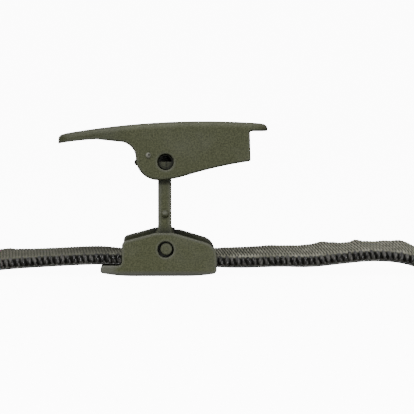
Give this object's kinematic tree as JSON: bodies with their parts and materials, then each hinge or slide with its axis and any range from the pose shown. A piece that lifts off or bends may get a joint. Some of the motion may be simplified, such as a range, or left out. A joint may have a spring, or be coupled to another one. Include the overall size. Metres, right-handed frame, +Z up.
{
  "type": "strap lever lock",
  "caption": "Folding lever lock on a flat elastic strap: a channel base, a swinging link with a cam hub and a long thumb lever on top.",
  "frame": {"origin": "on the flat underside of the base, straight below the axis of the lower pivot, midway across the strap", "axes": "+X along the strap towards the deep end of the lever, +Y across the strap along both pivots, +Z up"},
  "size_m": [0.0826, 0.0156, 0.0258],
  "materials": {
    "base_plastic": "moulded olive nylon with a fine spark-eroded grain",
    "link_plastic": "moulded olive nylon with a fine spark-eroded grain",
    "lever_plastic": "moulded olive nylon with a fine spark-eroded grain",
    "elastic": "woven olive elastic with dark looped edges"
  },
  "bodies": {
    "base_body": {"base": "base_plastic", "elastic_strap": "elastic"},
    "link_body": {"link": "link_plastic"},
    "lever_body": {"lever": "lever_plastic"}
  },
  "joints": [
    {"name": "link_swing", "type": "hinge", "parent": "base_body", "child": "link_body", "pos_m": [0, 0, 0.00453], "axis": [0, 1, 0], "range_deg": [0, 90], "deforming": ["elastic_strap"]},
    {"name": "lever_tilt", "type": "hinge", "parent": "link_body", "child": "lever_body", "pos_m": [0, 0, 0.01913], "axis": [0, 1, 0], "range_deg": [-90, 0]}
  ],
  "couplings": [
    {"joint": "lever_tilt", "follows": "link_swing", "ratio": -1}
  ]
}
